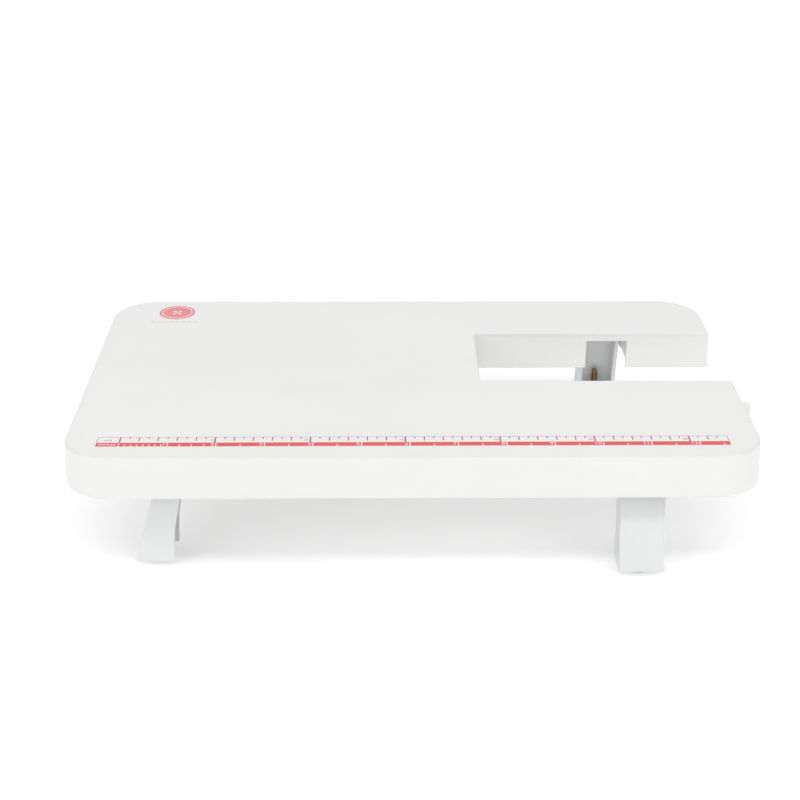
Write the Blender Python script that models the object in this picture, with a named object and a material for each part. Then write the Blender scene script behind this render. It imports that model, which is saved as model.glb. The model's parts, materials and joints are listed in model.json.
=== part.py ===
"""Sewing-machine extension table: a moulded top with a free-arm cutout and four folding legs.

Units are metres, +Z is up and +Y is the back edge. The origin is on the floor under the middle of
the table. Each leg folds about a steel pin in the top and ends in a screw foot that sets its height.
"""

import math

import bmesh
import bpy
from mathutils import Matrix, Vector

MM = 0.001

# Table top
TOP_HEIGHT = 73.0 * MM
TOP_LENGTH = 368.0 * MM
TOP_DEPTH = 223.0 * MM
SKIRT_DEPTH = 23.3 * MM
SKIRT_DRAFT = 1.2 * MM
SKIRT_WALL = 2.2 * MM
INNER_DRAFT = 0.2 * MM
PLATE_THICKNESS = 2.0 * MM
CORNER_RADIUS = 26.0 * MM
EDGE_ROUNDING = 1.2 * MM
TAB_REACH = 2.7 * MM
TAB_THICKNESS = 3.3 * MM
TAB_HEIGHT = 8.0 * MM
TAB_FROM_FRONT = 65.2 * MM

# Free-arm cutout, open to the right
BACK_ARM_DEPTH = 55.7 * MM
FRONT_ARM_DEPTH = 96.5 * MM
CUTOUT_LENGTH = 144.2 * MM
CUTOUT_CORNER = 2.0 * MM
ARM_TIP_RADIUS = 1.4 * MM
CUTOUT_EDGE_ROUNDING = 0.6 * MM
CUTOUT_LIP = 0.4 * MM
LIP_HEIGHT = 1.2 * MM
LIP_SLOPE = 0.2 * MM

# Legs: U-channels, closed on the side that faces out
LEG_WIDTH = 23.6 * MM
LEG_WALL = 2.3 * MM
LEG_LEAN = math.radians(16.0)
FLOOR_TO_LEG = 3.2 * MM
PIVOT_BELOW_TOP = 15.5 * MM
PIVOT_TO_FACE = 8.3 * MM
PIVOT_TO_FREE_EDGE = 6.25 * MM
WAIST_FREE_EDGE = 2.1 * MM
FOOT_FREE_EDGE = 2.9 * MM
FOOT_TOE = 22.4 * MM
TOE_HEIGHT = 2.4 * MM
WAIST_BELOW_PIVOT = 36.0 * MM
KNEE_BELOW_PIVOT = 16.4 * MM
FOOT_FLOOR = 2.6 * MM
FOOT_FLOOR_START = 6.0 * MM
BOSS_RADIUS = 4.8 * MM
BOSS_TOP = 13.2 * MM

# Leg bays in the underside
BAY_WIDTH = 25.0 * MM
BAY_WALL = 2.0 * MM
BAY_WALL_BOTTOM = 54.7 * MM
BEARING_BOTTOM = 51.9 * MM
BEARING_HALF_WIDTH = 6.0 * MM
LUG_INSET = 0.25 * MM
STOP_THICKNESS = 2.2 * MM
STOP_BOTTOM = 51.2 * MM
STOP_GAP = 0.3 * MM
NOTCH_BELOW_TOP = 5.3 * MM
BAY_LENGTH_LEFT = 70.0 * MM

# Low stiffening ribs
RIB_HEIGHT = 4.0 * MM
LONG_RIB_HEIGHT = 3.4 * MM
RIB_WIDTH = 1.6 * MM
ROOT_OVERLAP = 0.8 * MM

# Hinge pins
PIN_RADIUS = 1.5 * MM
PIN_CLEARANCE = 0.08 * MM

# Screw feet
SCREW_OFFSET = 11.2 * MM
SCREW_RADIUS = 1.95 * MM
SCREW_TOP = 30.5 * MM
SCREW_BORE = 2.05 * MM
SCREW_HEAD_RADIUS = 3.4 * MM
SCREW_HEAD_BOTTOM = 1.45 * MM
SCREW_HEAD_TOP = 2.15 * MM
INSERT_RADIUS = 3.0 * MM
INSERT_BOTTOM = 3.5 * MM
INSERT_TOP = 11.5 * MM
INSERT_GAP = 0.1 * MM
KNOB_RADIUS = 6.9 * MM
KNOB_BOTTOM = 0.6 * MM
KNOB_TOP = 2.9 * MM
KNOB_RECESS = 1.35 * MM
KNOB_CLEARANCE = 0.2 * MM
HEAD_RECESS = 2.25 * MM
PAD_RADIUS = 6.1 * MM
PAD_TOP = 1.2 * MM
EDGE_BREAK = 0.35 * MM

# Printed labels on the top
LABEL_THICKNESS = 0.12 * MM
LABEL_GAP = 0.02 * MM
RULER_LENGTH = 333.2 * MM
RULER_WIDTH = 11.1 * MM
RULER_FROM_FRONT = 13.4 * MM
EMBLEM_RADIUS = 11.1 * MM
EMBLEM_FROM_LEFT = 39.0 * MM
EMBLEM_FROM_BACK = 20.3 * MM
EMBLEM_HOLE_RADIUS = 1.25 * MM
EMBLEM_HOLE_OFFSET = 2.5 * MM

# Plan positions worked out from the sizes above. The tab widens the table to the right only, so the
# top is moved to the left by half of that to keep the whole object centred on the origin.
TOP_SHIFT = -TAB_REACH / 2
LEFT = TOP_SHIFT - TOP_LENGTH / 2
RIGHT = TOP_SHIFT + TOP_LENGTH / 2
FRONT = -TOP_DEPTH / 2
BACK = TOP_DEPTH / 2
CUTOUT_LEFT = RIGHT - CUTOUT_LENGTH
CUTOUT_FRONT = FRONT + FRONT_ARM_DEPTH
CUTOUT_BACK = BACK - BACK_ARM_DEPTH
PLATE_BOTTOM = TOP_HEIGHT - PLATE_THICKNESS
SKIRT_BOTTOM = TOP_HEIGHT - SKIRT_DEPTH
PIVOT_HEIGHT = TOP_HEIGHT - PIVOT_BELOW_TOP

# Each leg: its pin's place in plan and the way its closed face looks, in degrees from +X
LEFT_PIVOT_IN = 58.1 * MM
LEFT_LEG_FROM_EDGE = 26.5 * MM
RIGHT_LEG_FROM_RIGHT = 62.3 * MM
RIGHT_LEG_FROM_EDGE = 23.6 * MM
LEGS = {
    "front_left": (LEFT + LEFT_PIVOT_IN, FRONT + LEFT_LEG_FROM_EDGE, 180.0),
    "front_right": (RIGHT - RIGHT_LEG_FROM_RIGHT, FRONT + RIGHT_LEG_FROM_EDGE, -90.0),
    "back_right": (RIGHT - RIGHT_LEG_FROM_RIGHT, BACK - RIGHT_LEG_FROM_EDGE, 90.0),
    "back_left": (LEFT + LEFT_PIVOT_IN, BACK - LEFT_LEG_FROM_EDGE, 180.0),
}

CORNER_STEPS = 10
SMALL_CORNER_STEPS = 3
ROUND_SIDES = 24
KNOB_SIDES = 24
DOME_STEPS = 3
SMOOTH_ANGLE = math.radians(40)

# The steps down a rounded top edge, as shares of its depth
EDGE_STEPS = (0.0, 0.15, 0.45, 1.0)


def clear_scene():
    for obj in list(bpy.data.objects):
        bpy.data.objects.remove(obj, do_unlink=True)


def make_material(name, colour, roughness, metallic=0.0):
    material = bpy.data.materials.new(name)
    material.use_nodes = True
    shader = material.node_tree.nodes["Principled BSDF"]
    shader.inputs["Base Color"].default_value = (*colour, 1.0)
    shader.inputs["Roughness"].default_value = roughness
    shader.inputs["Metallic"].default_value = metallic
    return material


def link_mesh(name, bm, material=None, smooth_angle=None):
    """Turn a bmesh into an object of the scene. With an angle, faces that meet flatter are smooth."""
    bmesh.ops.recalc_face_normals(bm, faces=bm.faces)
    mesh = bpy.data.meshes.new(name)
    bm.to_mesh(mesh)
    bm.free()
    if smooth_angle is not None:
        mesh.shade_smooth()
        mesh.set_sharp_from_angle(angle=smooth_angle)
    if material is not None:
        mesh.materials.append(material)
    obj = bpy.data.objects.new(name, mesh)
    bpy.context.scene.collection.objects.link(obj)
    return obj


def make_helper(name, bm):
    """A cutter, or a shape to be merged into a part: it is left out of renders."""
    helper = link_mesh(name, bm)
    helper.hide_render = True
    helper.display_type = "WIRE"
    return helper


def apply_boolean(obj, operation, helper):
    modifier = obj.modifiers.new(f"{operation.title()} {helper.name}", "BOOLEAN")
    modifier.operation = operation
    modifier.solver = "EXACT"
    modifier.object = helper


def box(low, high):
    size = Vector(high) - Vector(low)
    middle = (Vector(high) + Vector(low)) / 2
    bm = bmesh.new()
    bmesh.ops.create_cube(bm, size=1.0)
    bmesh.ops.transform(bm, matrix=Matrix.LocRotScale(middle, None, size), verts=bm.verts)
    return bm


def cylinder(radius, bottom, top, centre=(0.0, 0.0), sides=ROUND_SIDES):
    bm = bmesh.new()
    place = Matrix.Translation((centre[0], centre[1], (bottom + top) / 2))
    bmesh.ops.create_cone(
        bm, cap_ends=True, segments=sides, radius1=radius, radius2=radius,
        depth=top - bottom, matrix=place,
    )
    return bm


def turned(profile, sides):
    """A solid of revolution about Z. The profile's first and last points lie on the axis or, on a
    ring, the profile closes on itself."""
    bm = bmesh.new()
    on_axis = profile[0][0] == 0.0
    rings = []
    for radius, height in profile:
        if radius == 0.0:
            rings.append([bm.verts.new((0.0, 0.0, height))])
            continue
        turns = [2 * math.pi * i / sides for i in range(sides)]
        rings.append([bm.verts.new((radius * math.cos(t), radius * math.sin(t), height)) for t in turns])
    pairs = list(zip(rings, rings[1:]))
    if not on_axis:
        pairs.append((rings[-1], rings[0]))
    for first, second in pairs:
        for i in range(sides):
            j = (i + 1) % sides
            corners = [first[i % len(first)], first[j % len(first)]]
            corners += [second[j % len(second)], second[i % len(second)]]
            bm.faces.new(list(dict.fromkeys(corners)))
    return bm


def prism(points, half_width):
    """Extrude a closed outline in the XZ plane along Y, to half_width on each side."""
    bm = bmesh.new()
    near = [bm.verts.new((x, -half_width, z)) for x, z in points]
    far = [bm.verts.new((x, half_width, z)) for x, z in points]
    bm.faces.new(near)
    bm.faces.new(reversed(far))
    for i in range(len(points)):
        j = (i + 1) % len(points)
        bm.faces.new((near[i], far[i], far[j], near[j]))
    return bm


def rounding_inset(depth, radius):
    """How far a rounded edge stands back from its wall, at this depth below the top face."""
    if depth >= radius:
        return 0.0
    return radius - math.sqrt(radius**2 - (radius - depth) ** 2)


def top_outline(outer, cutout):
    """The top's plan outline, anticlockwise. Its outer walls are moved outwards by outer, and the
    walls of the cutout by cutout."""
    left, right = LEFT - outer, RIGHT + outer
    front, back = FRONT - outer, BACK + outer
    slot_left = CUTOUT_LEFT + cutout
    slot_front, slot_back = CUTOUT_FRONT + cutout, CUTOUT_BACK - cutout
    wide = CORNER_RADIUS + outer
    tip = max(ARM_TIP_RADIUS + min(outer, cutout), EDGE_BREAK)
    inner = CUTOUT_CORNER - cutout
    corners = (
        (left, front, wide, 180, 90, CORNER_STEPS),
        (right, front, wide, 270, 90, CORNER_STEPS),
        (right, slot_front, tip, 0, 90, SMALL_CORNER_STEPS),
        (slot_left, slot_front, inner, 270, -90, SMALL_CORNER_STEPS),
        (slot_left, slot_back, inner, 180, -90, SMALL_CORNER_STEPS),
        (right, slot_back, tip, 270, 90, SMALL_CORNER_STEPS),
        (right, back, wide, 0, 90, CORNER_STEPS),
        (left, back, wide, 90, 90, CORNER_STEPS),
    )
    points = []
    for x, y, radius, start, turn, steps in corners:
        first, last = math.radians(start), math.radians(start + turn)
        centre_x = x - radius * (math.cos(first) + math.cos(last))
        centre_y = y - radius * (math.sin(first) + math.sin(last))
        for i in range(steps + 1):
            angle = first + (last - first) * i / steps
            points.append((centre_x + radius * math.cos(angle), centre_y + radius * math.sin(angle)))
    return points


def top_shell():
    """The thin moulded top: plate, outer skirt and cutout skirt, open underneath."""
    rings = []
    for share in EDGE_STEPS:
        depth = share * EDGE_ROUNDING
        outer = -rounding_inset(depth, EDGE_ROUNDING)
        rings.append((depth, outer, -rounding_inset(depth, CUTOUT_EDGE_ROUNDING)))
    rings.append((LIP_HEIGHT + LIP_SLOPE, LIP_SLOPE * SKIRT_DRAFT / SKIRT_DEPTH, -CUTOUT_LIP))
    rings.append((SKIRT_DEPTH, SKIRT_DRAFT, -CUTOUT_LIP))
    rings.append((SKIRT_DEPTH, SKIRT_DRAFT - SKIRT_WALL, -CUTOUT_LIP - SKIRT_WALL))
    rings.append((PLATE_THICKNESS, -SKIRT_WALL - INNER_DRAFT, -CUTOUT_LIP - SKIRT_WALL - INNER_DRAFT))
    bm = bmesh.new()
    loops = []
    for depth, outer, cutout in rings:
        height = TOP_HEIGHT - depth
        loops.append([bm.verts.new((x, y, height)) for x, y in top_outline(outer, cutout)])
    bm.faces.new(loops[0])
    bm.faces.new(reversed(loops[-1]))
    for upper, lower in zip(loops, loops[1:]):
        for i in range(len(upper)):
            j = (i + 1) % len(upper)
            bm.faces.new((upper[i], lower[i], lower[j], upper[j]))
    return bm


def bay_boxes(name):
    """The boxes that make one leg's bay, in the leg's own directions: u runs out from the pin towards
    the side that the closed face looks to, v along the pin, and z is the height above the floor."""
    half = BAY_WIDTH / 2
    face_at_stop = PIVOT_TO_FACE / math.cos(LEG_LEAN) + (PIVOT_HEIGHT - STOP_BOTTOM) * math.tan(LEG_LEAN)
    stop_u = face_at_stop + STOP_GAP
    outer_end = stop_u + STOP_THICKNESS
    inner_ends = {
        "front_right": LEGS["front_right"][1] - (CUTOUT_FRONT - SKIRT_WALL - CUTOUT_LIP + ROOT_OVERLAP),
        "back_right": (CUTOUT_BACK + SKIRT_WALL + CUTOUT_LIP - ROOT_OVERLAP) - LEGS["back_right"][1],
    }
    inner_end = inner_ends.get(name, -BAY_LENGTH_LEFT)
    root = PLATE_BOTTOM + ROOT_OVERLAP
    lug_root = (BAY_WALL_BOTTOM + PIVOT_HEIGHT) / 2
    for side in (-1, 1):
        near, far = sorted((side * half, side * (half + BAY_WALL)))
        yield (inner_end, near, BAY_WALL_BOTTOM), (outer_end + ROOT_OVERLAP, far, root)
        lug_low = (-BEARING_HALF_WIDTH, near + LUG_INSET, BEARING_BOTTOM)
        yield lug_low, (BEARING_HALF_WIDTH, far - LUG_INSET, lug_root)
    reach = half + BAY_WALL / 2
    yield (stop_u, -reach, STOP_BOTTOM), (outer_end, reach, root - LUG_INSET)


def leg_frame(name):
    x, y, heading = LEGS[name]
    return Matrix.Translation((x, y, 0.0)) @ Matrix.Rotation(math.radians(heading), 4, "Z")


def rib_boxes():
    """The low ribs under the plate, kept out of the leg bays."""
    low, high = PLATE_BOTTOM - RIB_HEIGHT, PLATE_BOTTOM + ROOT_OVERLAP / 2
    long_low, long_high = PLATE_BOTTOM - LONG_RIB_HEIGHT, PLATE_BOTTOM + ROOT_OVERLAP / 4
    half = RIB_WIDTH / 2
    skirt = SKIRT_WALL + INNER_DRAFT - ROOT_OVERLAP
    slot = SKIRT_WALL + CUTOUT_LIP - ROOT_OVERLAP
    slot_left = CUTOUT_LEFT - slot
    bay_end = LEGS["front_left"][0] + BAY_LENGTH_LEFT
    crossing_x = (bay_end + slot_left) / 2
    yield (crossing_x - half, FRONT + skirt, low), (crossing_x + half, BACK - skirt, high)
    inner_depth = BACK - LEFT_LEG_FROM_EDGE - BAY_WIDTH / 2 - BAY_WALL
    for y in (-inner_depth / 2, 0.0, inner_depth / 2):
        yield (LEFT + skirt, y - half, long_low), (slot_left, y + half, long_high)
    bay_left = RIGHT - RIGHT_LEG_FROM_RIGHT - BAY_WIDTH / 2 - BAY_WALL
    bay_right = bay_left + BAY_WIDTH + 2 * BAY_WALL
    spans = ((FRONT + skirt, CUTOUT_FRONT - slot), (CUTOUT_BACK + slot, BACK - skirt))
    for start, end in spans:
        for x in ((slot_left + bay_left) / 2, (bay_right + RIGHT) / 2):
            yield (x - half, start, low), (x + half, end, high)
        near, far = (start + end) / 2 - half, (start + end) / 2 + half
        yield (crossing_x, near, long_low), (bay_left + ROOT_OVERLAP, far, long_high)
        yield (bay_right - ROOT_OVERLAP, near, long_low), (RIGHT - skirt, far, long_high)


def pin_cutter(name, radius, half_length):
    bm = cylinder(radius, -half_length, half_length)
    turn = Matrix.Rotation(math.radians(90), 4, "X")
    rise = Matrix.Translation((0.0, 0.0, PIVOT_HEIGHT))
    bmesh.ops.transform(bm, matrix=leg_frame(name) @ rise @ turn, verts=bm.verts)
    return bm


def make_table_top(material):
    top = link_mesh("table_top", top_shell(), material)
    additions = []
    for name in LEGS:
        for low, high in bay_boxes(name):
            bm = box(low, high)
            bmesh.ops.transform(bm, matrix=leg_frame(name), verts=bm.verts)
            additions.append(bm)
    additions += [box(low, high) for low, high in rib_boxes()]
    tab_y = FRONT + TAB_FROM_FRONT
    tab_end = RIGHT + SKIRT_DRAFT + TAB_REACH
    tab_low = (RIGHT - SKIRT_WALL / 2, tab_y, TOP_HEIGHT - TAB_HEIGHT)
    additions.append(box(tab_low, (tab_end, tab_y + TAB_THICKNESS, TOP_HEIGHT - CUTOUT_EDGE_ROUNDING)))
    for number, bm in enumerate(additions):
        apply_boolean(top, "UNION", make_helper(f"add_{number}", bm))

    notch_x = RIGHT - RIGHT_LEG_FROM_RIGHT
    notch_low = (notch_x - BAY_WIDTH / 2, CUTOUT_BACK - SKIRT_WALL, SKIRT_BOTTOM - SKIRT_WALL)
    notch_y = CUTOUT_BACK + CUTOUT_LIP + SKIRT_WALL + INNER_DRAFT + ROOT_OVERLAP
    notch = box(notch_low, (notch_x + BAY_WIDTH / 2, notch_y, TOP_HEIGHT - NOTCH_BELOW_TOP))
    apply_boolean(top, "DIFFERENCE", make_helper("cut_notch", notch))
    for name in LEGS:
        cutter = pin_cutter(name, PIN_RADIUS + PIN_CLEARANCE, BAY_WIDTH / 2 + 2 * BAY_WALL)
        apply_boolean(top, "DIFFERENCE", make_helper(f"cut_pin_{name}", cutter))
    return top


def make_labels(ruler_material, emblem_material):
    bottom = TOP_HEIGHT + LABEL_GAP
    top = bottom + LABEL_THICKNESS
    ruler_y = FRONT + RULER_FROM_FRONT
    ruler_low = (TOP_SHIFT - RULER_LENGTH / 2, ruler_y, bottom)
    ruler_high = (TOP_SHIFT + RULER_LENGTH / 2, ruler_y + RULER_WIDTH, top)
    link_mesh("ruler_strip", box(ruler_low, ruler_high), ruler_material)

    disc = cylinder(EMBLEM_RADIUS, bottom, top, sides=2 * KNOB_SIDES)
    emblem = link_mesh("emblem", disc, emblem_material)
    emblem.location = (LEFT + EMBLEM_FROM_LEFT, BACK - EMBLEM_FROM_BACK, 0.0)
    for i in range(4):
        angle = math.radians(45 + 90 * i)
        centre = (EMBLEM_HOLE_OFFSET * math.cos(angle), EMBLEM_HOLE_OFFSET * math.sin(angle))
        hole = cylinder(EMBLEM_HOLE_RADIUS, bottom - LABEL_THICKNESS, top + LABEL_THICKNESS, centre)
        cutter = make_helper(f"cut_emblem_{i}", hole)
        cutter.location = emblem.location
        apply_boolean(emblem, "DIFFERENCE", cutter)


def leg_profile():
    """The leg's side outline in its own frame, with the pin at the origin, +X out and +Z up."""
    bottom = FLOOR_TO_LEG - PIVOT_HEIGHT
    points = []
    first = LEG_LEAN
    last = math.pi + LEG_LEAN - math.acos(PIVOT_TO_FREE_EDGE / PIVOT_TO_FACE)
    for i in range(CORNER_STEPS + 1):
        angle = first + (last - first) * i / CORNER_STEPS
        points.append((PIVOT_TO_FACE * math.cos(angle), PIVOT_TO_FACE * math.sin(angle)))
    knee_x = KNEE_BELOW_PIVOT * math.tan(LEG_LEAN) - PIVOT_TO_FREE_EDGE / math.cos(LEG_LEAN)
    points.append((knee_x, -KNEE_BELOW_PIVOT))
    points.append((WAIST_FREE_EDGE, -WAIST_BELOW_PIVOT))
    points.append((FOOT_FREE_EDGE, bottom))
    points.append((FOOT_TOE, bottom))
    toe = bottom + TOE_HEIGHT
    points.append((PIVOT_TO_FACE / math.cos(LEG_LEAN) - toe * math.tan(LEG_LEAN), toe))
    return points


def channel_profile():
    """The hollow of the channel: it leaves the web and the foot's floor, and is open everywhere else."""
    below = -PIVOT_HEIGHT
    floor = below + FLOOR_TO_LEG + FOOT_FLOOR
    web = (PIVOT_TO_FACE - LEG_WALL) / math.cos(LEG_LEAN)
    reach = LEG_WIDTH
    slope = math.tan(LEG_LEAN)
    return [
        (web - reach * slope, reach),
        (-reach, reach),
        (-reach, below),
        (FOOT_FLOOR_START, below),
        (FOOT_FLOOR_START, floor),
        (web - floor * slope, floor),
    ]


def make_leg(name, material):
    leg = link_mesh(f"leg_{name}", prism(leg_profile(), LEG_WIDTH / 2), material)
    x, y, heading = LEGS[name]
    leg.location = (x, y, PIVOT_HEIGHT)
    leg.rotation_euler = (0.0, 0.0, math.radians(heading))
    below = -PIVOT_HEIGHT
    axis = (SCREW_OFFSET, 0.0)
    foot_bottom = below + FLOOR_TO_LEG
    insert_end = below + INSERT_TOP + INSERT_GAP
    boss_end = below + BOSS_TOP
    steps = (
        ("DIFFERENCE", "channel", prism(channel_profile(), LEG_WIDTH / 2 - LEG_WALL)),
        ("UNION", "boss", cylinder(BOSS_RADIUS, foot_bottom + FOOT_FLOOR / 2, boss_end, axis)),
        ("DIFFERENCE", "seat", cylinder(INSERT_RADIUS + INSERT_GAP, below, insert_end, axis)),
        ("DIFFERENCE", "stud", cylinder(SCREW_BORE + INSERT_GAP, below, boss_end + EDGE_BREAK, axis)),
    )
    for operation, label, bm in steps:
        helper = make_helper(f"leg_{label}_{name}", bm)
        helper.matrix_basis = leg.matrix_basis
        apply_boolean(leg, operation, helper)
    cutter = make_helper(f"leg_pin_{name}", pin_cutter(name, PIN_RADIUS + PIN_CLEARANCE, LEG_WIDTH))
    apply_boolean(leg, "DIFFERENCE", cutter)
    return leg


def make_pin(name, material):
    half = BAY_WIDTH / 2 + BAY_WALL
    chamfer = PIN_RADIUS - EDGE_BREAK
    profile = [(0.0, half), (chamfer, half), (PIN_RADIUS, half - EDGE_BREAK)]
    profile += [(radius, -height) for radius, height in reversed(profile)]
    pin = link_mesh(f"hinge_pin_{name}", turned(profile, ROUND_SIDES), material, SMOOTH_ANGLE)
    x, y, heading = LEGS[name]
    pin.location = (x, y, PIVOT_HEIGHT)
    pin.rotation_euler = (math.radians(90), 0.0, math.radians(heading))


def make_insert(leg, name, material):
    profile = [
        (SCREW_BORE, INSERT_TOP),
        (INSERT_RADIUS, INSERT_TOP),
        (INSERT_RADIUS, INSERT_BOTTOM),
        (SCREW_BORE, INSERT_BOTTOM),
    ]
    insert = link_mesh(f"threaded_insert_{name}", turned(profile, ROUND_SIDES), material, SMOOTH_ANGLE)
    insert.parent = leg
    insert.location = (SCREW_OFFSET, 0.0, -PIVOT_HEIGHT)


def make_foot(leg, name, rubber, plastic, brass):
    """The rubber pad, and the knob and stud that turn on it. All are centred on the stud's axis."""
    edge = EDGE_BREAK
    pad_profile = [
        (0.0, PAD_TOP),
        (PAD_RADIUS, PAD_TOP),
        (PAD_RADIUS, edge),
        (PAD_RADIUS - edge, 0.0),
        (0.0, 0.0),
    ]
    pad = link_mesh(f"foot_pad_{name}", turned(pad_profile, KNOB_SIDES), rubber, SMOOTH_ANGLE)
    pad.parent = leg
    pad.location = (SCREW_OFFSET, 0.0, -PIVOT_HEIGHT)

    seat = PAD_RADIUS + KNOB_CLEARANCE
    head_seat = SCREW_HEAD_RADIUS + KNOB_CLEARANCE
    knob_profile = [
        (SCREW_BORE, KNOB_TOP),
        (KNOB_RADIUS - edge, KNOB_TOP),
        (KNOB_RADIUS, KNOB_TOP - edge),
        (KNOB_RADIUS, KNOB_BOTTOM + edge),
        (KNOB_RADIUS - edge, KNOB_BOTTOM),
        (seat, KNOB_BOTTOM),
        (seat, KNOB_RECESS),
        (head_seat, KNOB_RECESS),
        (head_seat, HEAD_RECESS),
        (SCREW_BORE, HEAD_RECESS),
    ]
    knob = link_mesh(f"foot_knob_{name}", turned(knob_profile, KNOB_SIDES), plastic, SMOOTH_ANGLE)
    knob.parent = pad

    screw_profile = [(0.0, SCREW_TOP)]
    for i in range(1, DOME_STEPS + 1):
        angle = math.pi / 2 * i / DOME_STEPS
        drop = SCREW_RADIUS / 2 * (1 - math.cos(angle))
        screw_profile.append((SCREW_RADIUS * math.sin(angle), SCREW_TOP - drop))
    screw_profile += [
        (SCREW_RADIUS, SCREW_HEAD_TOP),
        (SCREW_HEAD_RADIUS, SCREW_HEAD_TOP),
        (SCREW_HEAD_RADIUS, SCREW_HEAD_BOTTOM),
        (0.0, SCREW_HEAD_BOTTOM),
    ]
    screw = link_mesh(f"foot_screw_{name}", turned(screw_profile, ROUND_SIDES), brass, SMOOTH_ANGLE)
    screw.parent = pad


def main():
    clear_scene()
    white = make_material("white_plastic", (0.87, 0.87, 0.86), 0.38)
    leg_white = make_material("leg_plastic", (0.84, 0.85, 0.83), 0.42)
    knob_white = make_material("knob_plastic", (0.80, 0.80, 0.79), 0.5)
    ruler_print = make_material("ruler_print", (0.80, 0.06, 0.07), 0.45)
    emblem_print = make_material("emblem_print", (0.78, 0.12, 0.16), 0.45)
    steel = make_material("pin_steel", (0.60, 0.60, 0.61), 0.3, 1.0)
    brass = make_material("brass", (0.52, 0.40, 0.18), 0.35, 1.0)
    rubber = make_material("pad_rubber", (0.55, 0.55, 0.54), 0.8)

    make_table_top(white)
    make_labels(ruler_print, emblem_print)
    for name in LEGS:
        leg = make_leg(name, leg_white)
        make_pin(name, steel)
        make_insert(leg, name, brass)
        make_foot(leg, name, rubber, knob_white, brass)


main()
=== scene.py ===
"""The looks of a sewing-machine extension table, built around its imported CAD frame.

Units are metres, +Z is up and +Y is the back edge. Places come from the frame's nodes and joints.
The sizes named below are those of the mouldings, fillets, threads and print that the frame leaves out.
"""

import json
import math

import bmesh
import bpy
from mathutils import Matrix, Vector


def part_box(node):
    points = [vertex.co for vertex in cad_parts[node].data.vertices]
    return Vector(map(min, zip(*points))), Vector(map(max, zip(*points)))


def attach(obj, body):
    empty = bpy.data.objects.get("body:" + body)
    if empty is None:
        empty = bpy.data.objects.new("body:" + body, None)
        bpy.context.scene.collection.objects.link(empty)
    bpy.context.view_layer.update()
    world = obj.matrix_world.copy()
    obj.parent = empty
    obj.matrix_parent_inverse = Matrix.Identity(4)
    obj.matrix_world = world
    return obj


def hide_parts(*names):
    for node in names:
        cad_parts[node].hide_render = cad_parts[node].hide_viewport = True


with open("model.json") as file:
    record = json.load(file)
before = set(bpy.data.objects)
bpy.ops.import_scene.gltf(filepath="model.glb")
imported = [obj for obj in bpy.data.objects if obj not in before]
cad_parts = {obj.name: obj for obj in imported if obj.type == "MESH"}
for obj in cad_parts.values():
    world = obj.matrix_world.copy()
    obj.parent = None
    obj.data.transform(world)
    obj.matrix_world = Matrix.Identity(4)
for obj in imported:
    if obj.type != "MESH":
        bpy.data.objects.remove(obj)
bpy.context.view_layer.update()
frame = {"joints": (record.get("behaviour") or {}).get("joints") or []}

MM = 0.001

# Top moulding
SKIRT_DRAFT = 1.2 * MM
SKIRT_WALL = 2.2 * MM
INNER_DRAFT = 0.2 * MM
PLATE_THICKNESS = 2.0 * MM
CORNER_RADIUS = 26.0 * MM
EDGE_ROUNDING = 1.6 * MM
SKIRT_END_ROUNDING = 0.5 * MM
INSIDE_FILLET = 1.1 * MM
CUTOUT_LENGTH = 144.2 * MM
BACK_ARM_DEPTH = 55.7 * MM
FRONT_ARM_DEPTH = 96.5 * MM
CUTOUT_CORNER = 2.0 * MM
CUTOUT_ROUNDING = 0.6 * MM
CUTOUT_LIP = 0.4 * MM
LIP_HEIGHT = 1.2 * MM
LIP_SLOPE = 0.2 * MM
ARM_TIP_RADIUS = 1.4 * MM
LEAST_RADIUS = 0.35 * MM
WIDE_CORNER_STEPS = 28
SMALL_CORNER_STEPS = 8
SECTION_STEPS = 6
TAB_REACH = 2.7 * MM
TAB_THICKNESS = 3.3 * MM
TAB_HEIGHT = 8.0 * MM
TAB_FROM_FRONT = 65.2 * MM

# Leg bays and ribs underneath
BAY_WIDTH = 25.0 * MM
BAY_WALL = 2.0 * MM
BAY_DEPTH = 18.3 * MM
BAY_LENGTH_LEFT = 70.0 * MM
BEARING_DEPTH = 21.1 * MM
BEARING_HALF_WIDTH = 6.0 * MM
STOP_DEPTH = 21.8 * MM
STOP_THICKNESS = 2.2 * MM
STOP_GAP = 0.3 * MM
NOTCH_BELOW_TOP = 5.3 * MM
RIB_WIDTH = 1.6 * MM
RIB_HEIGHT = 4.0 * MM
LONG_RIB_HEIGHT = 3.4 * MM
ROOT = 0.8 * MM
BREAK = 0.25 * MM
EJECTOR_RADIUS = 2.6 * MM
EJECTOR_DEPTH = 0.12 * MM
EJECTOR_COLUMNS = (30.0 * MM, 62.0 * MM, 150.0 * MM)
EJECTOR_SPREAD = 24.0 * MM
EJECTOR_OUTER_SPREAD = 90.0 * MM
EJECTOR_IN_CORNER = 16.0 * MM
EJECTOR_FROM_RIGHT = 12.0 * MM
EJECTOR_FROM_FRONT = 30.0 * MM
EJECTOR_FROM_BACK = 14.0 * MM

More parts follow.
